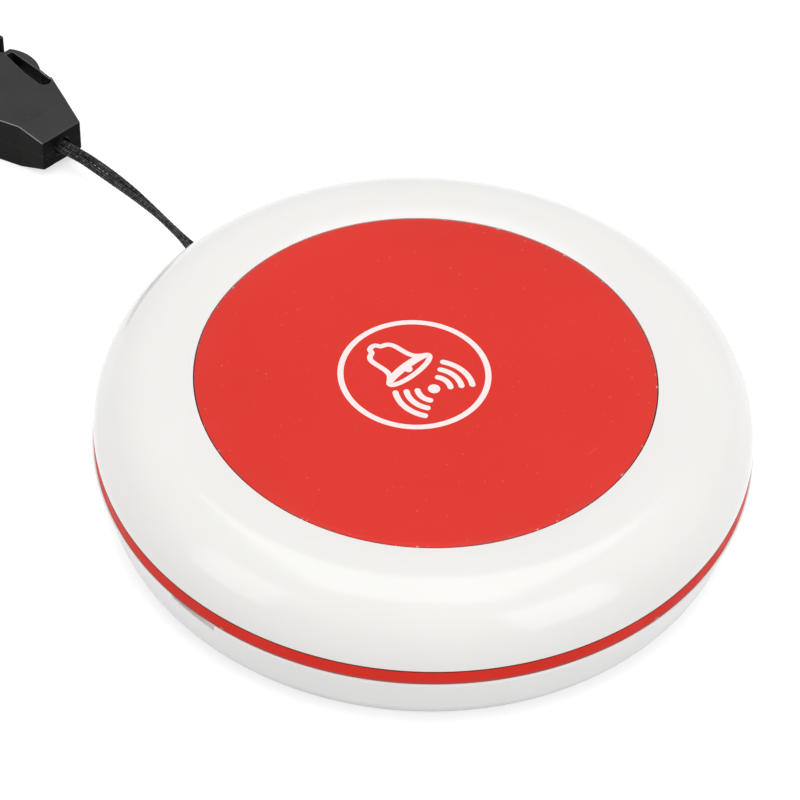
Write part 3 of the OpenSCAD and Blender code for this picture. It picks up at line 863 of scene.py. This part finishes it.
def buckle_plastic(name, level, flank, end):
    """Black moulding: fine spark texture on level faces and a parting line, with light and shade painted
    in: level faces lit, flanks and ends painted darker as shaded, and a painted highlight on the rounded
    edges, strongest towards -X.
    """
    m = Shade(name)
    # Painted light and shade: level faces get the lit colour, faces looking to -X the flank colour, the
    # other standing faces the darkest end colour
    flat = m.ramp(m.upright(), 0.55, 0.85)
    tone = m.mottle(300.0, 4.0, 0.85, 1.0)
    share = m.math("MULTIPLY", flat, tone)
    body = m.mix(share, m.mix(m.leftward(), end, flank), level)
    height = m.math("ABSOLUTE", m.math("SUBTRACT", m.split(m.place)["Z"], BUCKLE_MID * MM))
    seam = m.ramp(height, 0.03 * MM, 0.09 * MM, 1.0, 0.0)
    body = m.mix(m.math("MULTIPLY", seam, 0.2), body, level)
    # Painted highlight on the rounded edges between level and standing faces, strongest on faces looking to
    # -X, patchy by noise
    rising = m.ramp(m.upright(), 0.25, 0.5)
    falling = m.ramp(m.upright(), 0.85, 0.97, 1.0, 0.0)
    patchy = m.ramp(m.noise(700.0, 3.0), 0.3, 0.6, 0.7, 1.0)
    highlight_side = m.math("MULTIPLY", patchy, m.ramp(m.leftward(), 0.0, 1.0, 0.15, 1.0))
    edges = m.math("MULTIPLY", m.math("MULTIPLY", rising, falling), highlight_side)
    body = m.mix(edges, body, (0.27, 0.27, 0.265))
    grains = m.math("MAXIMUM", m.specks(2300.0, 0.13, 0.1), m.specks(900.0, 0.05, 0.05))
    m.color(m.mix(m.math("MULTIPLY", grains, 0.35), body, (0.2, 0.2, 0.195)))
    m.rough(m.mottle(900.0, 4.0, 0.4, 0.55))
    grain = m.math("MULTIPLY", m.noise(5200.0, 3.0, 0.65), m.ramp(flat, 0.0, 1.0, 0.25, 1.0))
    m.bump(m.math("ADD", grain, seam), 0.35, 0.03)
    m.set(Specular_IOR_Level=0.04)
    return m.material


def black_plastic(name, base, rough_low, rough_high):
    m = Shade(name)
    tone = m.mottle(300.0, 4.0)
    m.color(m.mix(tone, tuple(0.8 * c for c in base), tuple(1.2 * c for c in base)))
    m.rough(m.mottle(900.0, 4.0, rough_low, rough_high))
    m.bump(m.noise(6000.0, 3.0, 0.65), 0.35, 0.03)
    return m.material


def braid():
    m = Shade("black_braid")
    uv = m.tree.nodes.new("ShaderNodeUVMap")
    uv.uv_map = "UVMap"
    at = m.split(uv.outputs["UV"])
    around = m.math("MULTIPLY", at["X"], 2 * math.pi * BRAID_CARRIERS)
    along = m.math("MULTIPLY", at["Y"], 2 * math.pi * BRAID_CARRIERS / BRAID_PITCH)
    one = m.math("SINE", m.math("ADD", around, along))
    other = m.math("SINE", m.math("SUBTRACT", around, along))
    over = m.ramp(m.math("MULTIPLY", one, other), -0.2, 0.8)
    fleck = m.ramp(m.noise(2600.0, 3.0), 0.4, 0.62)
    light = m.math("MULTIPLY", over, fleck)
    m.color(m.mix(light, (0.012, 0.012, 0.0117), (0.17, 0.17, 0.167)))
    m.rough(m.mottle(2500.0, 2.0, 0.55, 0.8))
    m.bump(m.noise(14000.0, 2.0), 0.5, 0.03)
    m.set(Sheen_Weight=0.06, Sheen_Roughness=0.4, Specular_IOR_Level=0.15)
    return m.material


def rubber(name, base):
    m = Shade(name)
    m.color(m.mix(m.noise(800.0, 3.0), tuple(0.7 * c for c in base), tuple(1.4 * c for c in base)))
    m.rough(m.mottle(1500.0, 3.0, 0.65, 0.85))
    m.bump(m.noise(6000.0, 2.0), 0.3, 0.02)
    return m.material


def metal(name, base, rough_low, rough_high, turn=0.0):
    m = Shade(name)
    lines = m.noise(1.0, 3.0, 0.6, m.stretched((400.0, 9000.0, 3000.0), turn))
    m.color(m.mix(m.ramp(lines, NOISE_LOW, NOISE_HIGH), tuple(0.85 * c for c in base), base))
    m.rough(m.ramp(lines, NOISE_LOW, NOISE_HIGH, rough_low, rough_high))
    m.bump(lines, 0.15, 0.01)
    m.set(Metallic=1.0)
    return m.material


def board():
    m = Shade("green_board")
    edges = m.cells(330.0, "DISTANCE_TO_EDGE")
    tracks = m.ramp(edges.outputs["Distance"], 0.10, 0.12, 1.0, 0.0)
    body = m.mix(m.noise(500.0, 3.0), (0.008, 0.085, 0.03), (0.014, 0.13, 0.045))
    body = m.mix(m.math("MULTIPLY", tracks, 0.6), body, (0.03, 0.24, 0.085))
    m.color(m.mix(m.specks(600.0, 0.16, 0.12), body, (0.62, 0.6, 0.55)))
    m.rough(m.mottle(900.0, 2.0, 0.3, 0.45))
    m.bump(tracks, 0.3, 0.03)
    return m.material


def small_part(name, low, high, rough_low, rough_high):
    m = Shade(name)
    m.color(m.mix(m.noise(1800.0, 3.0), low, high))
    m.rough(m.mottle(2500.0, 2.0, rough_low, rough_high))
    m.bump(m.noise(9000.0, 2.0), 0.2, 0.01)
    return m.material


def print_ink():
    m = Shade("white_print")
    m.color(m.mix(m.noise(2200.0, 3.0), (0.93, 0.80, 0.79), (0.98, 0.86, 0.85)))
    m.rough(m.mottle(3000.0, 2.0, 0.4, 0.55))
    m.bump(m.noise(7000.0, 2.0), 0.1, 0.01)
    return m.material


def dress(material, *pieces):
    for piece in pieces:
        piece.data.materials.clear()
        piece.data.materials.append(material)


def dress_nodes(material, *names):
    dress(material, *[nodes[name] for name in names])


satin = white_plastic("white_satin_plastic", (0.86, 0.855, 0.85), (0.84, 0.835, 0.83), 0.3, 0.38)
dress(white_plastic("white_gloss_plastic", (0.87, 0.862, 0.84), (0.85, 0.842, 0.82), 0.12, 0.17), upper)
dress(satin, lower)
dress(red_film(), film)
dress(red_band(), band)
dress(print_ink(), sign)
# Lit and shaded copies of one black plastic: level faces lit, flanks and ends painted as shade
BUCKLE_LIT_LEVEL = (0.049, 0.049, 0.0485)
BUCKLE_SHADED_FLANK = (0.014, 0.014, 0.0135)
BUCKLE_SHADED_END = (0.004, 0.004, 0.0038)
PRONG_LIT_LEVEL = (0.058, 0.058, 0.057)
dress(buckle_plastic("black_buckle_plastic", BUCKLE_LIT_LEVEL, BUCKLE_SHADED_FLANK, BUCKLE_SHADED_END), socket, plug)
prong_plastic = buckle_plastic("black_prong_plastic", PRONG_LIT_LEVEL, BUCKLE_SHADED_FLANK, BUCKLE_SHADED_FLANK)
dress(prong_plastic, prong_left, prong_right)
dress(braid(), cord)
dress(rubber("black_cord_knot", (0.02, 0.02, 0.02)), knot)

dress_nodes(satin, "case_snaps")
dress_nodes(small_part("red_cap_plastic", (0.4, 0.012, 0.008), (0.5, 0.018, 0.01), 0.35, 0.5), "button_cap")
dress_nodes(rubber("black_rubber", (0.03, 0.03, 0.03)), "case_seal", "button_gasket")
dress_nodes(board(), "pcb")
dress_nodes(
    metal("plated_steel", (0.62, 0.62, 0.61), 0.2, 0.4),
    "pcb_screws", "switch_cover", "switch_dome", "saw_resonator", "coin_cell")
dress_nodes(metal("tinned_leads", (0.7, 0.7, 0.69), 0.25, 0.45, 0.8), "switch_terminals", "encoder_leads")
dress_nodes(metal("spring_brass", (0.72, 0.55, 0.26), 0.25, 0.4), "battery_clip", "battery_pad")
dress_nodes(metal("copper_wire", (0.72, 0.4, 0.25), 0.25, 0.4), "antenna_wire")
dress_nodes(
    black_plastic("black_inner_plastic", (0.02, 0.02, 0.02), 0.4, 0.55),
    "switch_body", "switch_stem", "battery_holder", "encoder_chip")
dress_nodes(small_part("clear_lamp", (0.75, 0.75, 0.62), (0.85, 0.85, 0.75), 0.15, 0.25), "indicator_led")
dress_nodes(small_part("ceramic_chips", (0.10, 0.07, 0.045), (0.2, 0.15, 0.1), 0.4, 0.55), "smd_passives")


# Floor and light
FLOOR_SIZE = 1.6
FLOOR_BELOW = 0.00003
FLOOR_TONE = 0.66
FLOOR_LIFT = 0.6
WORLD_HORIZON = 0.91
WORLD_ZENITH = 0.62
WORLD_LEFT = 0.76
WORLD_RIGHT = 0.85


def seen_ray(tree):
    """1 for rays that show the background: from the camera, off gloss and through glass."""
    path = tree.nodes.new("ShaderNodeLightPath")
    total = path.outputs["Is Camera Ray"]
    for name in ("Is Glossy Ray", "Is Transmission Ray"):
        most = tree.nodes.new("ShaderNodeMath")
        most.operation = "MAXIMUM"
        tree.links.new(total, most.inputs[0])
        tree.links.new(path.outputs[name], most.inputs[1])
        total = most.outputs["Value"]
    return total


def make_floor():
    s = FLOOR_SIZE
    mesh = bpy.data.meshes.new("floor")
    mesh.from_pydata([(-s, -s, 0), (s, -s, 0), (s, s, 0), (-s, s, 0)], [], [(0, 1, 2, 3)])
    floor = bpy.data.objects.new("floor", mesh)
    floor.location.z = -FLOOR_BELOW
    scene.collection.objects.link(floor)
    material = bpy.data.materials.new("floor_white")
    material.use_nodes = True
    tree = material.node_tree
    tree.nodes.clear()
    out = tree.nodes.new("ShaderNodeOutputMaterial")
    matt = tree.nodes.new("ShaderNodeBsdfDiffuse")
    matt.inputs["Color"].default_value = (FLOOR_TONE, FLOOR_TONE, FLOOR_TONE, 1)
    glow = tree.nodes.new("ShaderNodeEmission")
    lift = tree.nodes.new("ShaderNodeMath")
    lift.operation = "MULTIPLY"
    lift.inputs[1].default_value = FLOOR_LIFT
    tree.links.new(seen_ray(tree), lift.inputs[0])
    tree.links.new(lift.outputs["Value"], glow.inputs["Strength"])
    both = tree.nodes.new("ShaderNodeAddShader")
    tree.links.new(matt.outputs["BSDF"], both.inputs[0])
    tree.links.new(glow.outputs["Emission"], both.inputs[1])
    tree.links.new(both.outputs["Shader"], out.inputs["Surface"])
    mesh.materials.append(material)


def make_world():
    """A light tent: brighter low down than overhead, dimmer to both sides, and white where it is seen."""
    world = bpy.data.worlds.new("studio")
    scene.world = world
    world.use_nodes = True
    tree = world.node_tree
    tree.nodes.clear()
    out = tree.nodes.new("ShaderNodeOutputWorld")
    coords = tree.nodes.new("ShaderNodeTexCoord")
    split = tree.nodes.new("ShaderNodeSeparateXYZ")
    tree.links.new(coords.outputs["Generated"], split.inputs["Vector"])
    fade = tree.nodes.new("ShaderNodeMapRange")
    fade.inputs["To Min"].default_value = WORLD_HORIZON
    fade.inputs["To Max"].default_value = WORLD_ZENITH
    tree.links.new(split.outputs["Z"], fade.inputs["Value"])
    across = tree.nodes.new("ShaderNodeVectorMath")
    across.operation = "DOT_PRODUCT"
    half = 0.5 * math.sqrt(0.5)
    across.inputs[1].default_value = (half, -half, 0)
    tree.links.new(coords.outputs["Generated"], across.inputs[0])
    place = tree.nodes.new("ShaderNodeMath")
    place.inputs[1].default_value = 0.5
    tree.links.new(across.outputs["Value"], place.inputs[0])
    sides = tree.nodes.new("ShaderNodeValToRGB")
    sides.color_ramp.elements[0].color = (WORLD_LEFT, WORLD_LEFT, WORLD_LEFT, 1)
    sides.color_ramp.elements[1].color = (WORLD_RIGHT, WORLD_RIGHT, WORLD_RIGHT, 1)
    sides.color_ramp.elements.new(0.5).color = (1, 1, 1, 1)
    tree.links.new(place.outputs["Value"], sides.inputs["Fac"])
    lit = tree.nodes.new("ShaderNodeBackground")
    tree.links.new(sides.outputs["Color"], lit.inputs["Color"])
    tree.links.new(fade.outputs["Result"], lit.inputs["Strength"])
    seen = tree.nodes.new("ShaderNodeBackground")
    seen.inputs["Color"].default_value = (1, 1, 1, 1)
    mix = tree.nodes.new("ShaderNodeMixShader")
    tree.links.new(seen_ray(tree), mix.inputs["Fac"])
    tree.links.new(lit.outputs["Background"], mix.inputs[1])
    tree.links.new(seen.outputs["Background"], mix.inputs[2])
    tree.links.new(mix.outputs["Shader"], out.inputs["Surface"])


def make_lamp(name, place, size, watts):
    data = bpy.data.lights.new(name, "AREA")
    data.shape = "RECTANGLE"
    data.size = size[0]
    data.size_y = size[1]
    data.energy = watts
    lamp = bpy.data.objects.new(name, data)
    lamp.location = place
    lamp.rotation_euler = (-Vector(place)).to_track_quat("-Z", "Y").to_euler()
    scene.collection.objects.link(lamp)


make_floor()
make_world()
make_lamp("softbox_top", (0.068, 0.056, 0.6), (0.42, 0.52), 1.0)
make_lamp("softbox_right", (0.02, -0.54, 0.31), (0.33, 0.42), 0.68)
make_lamp("softbox_left", (-0.53, 0.13, 0.28), (0.28, 0.42), 0.5)

scene.view_settings.view_transform = "Standard"
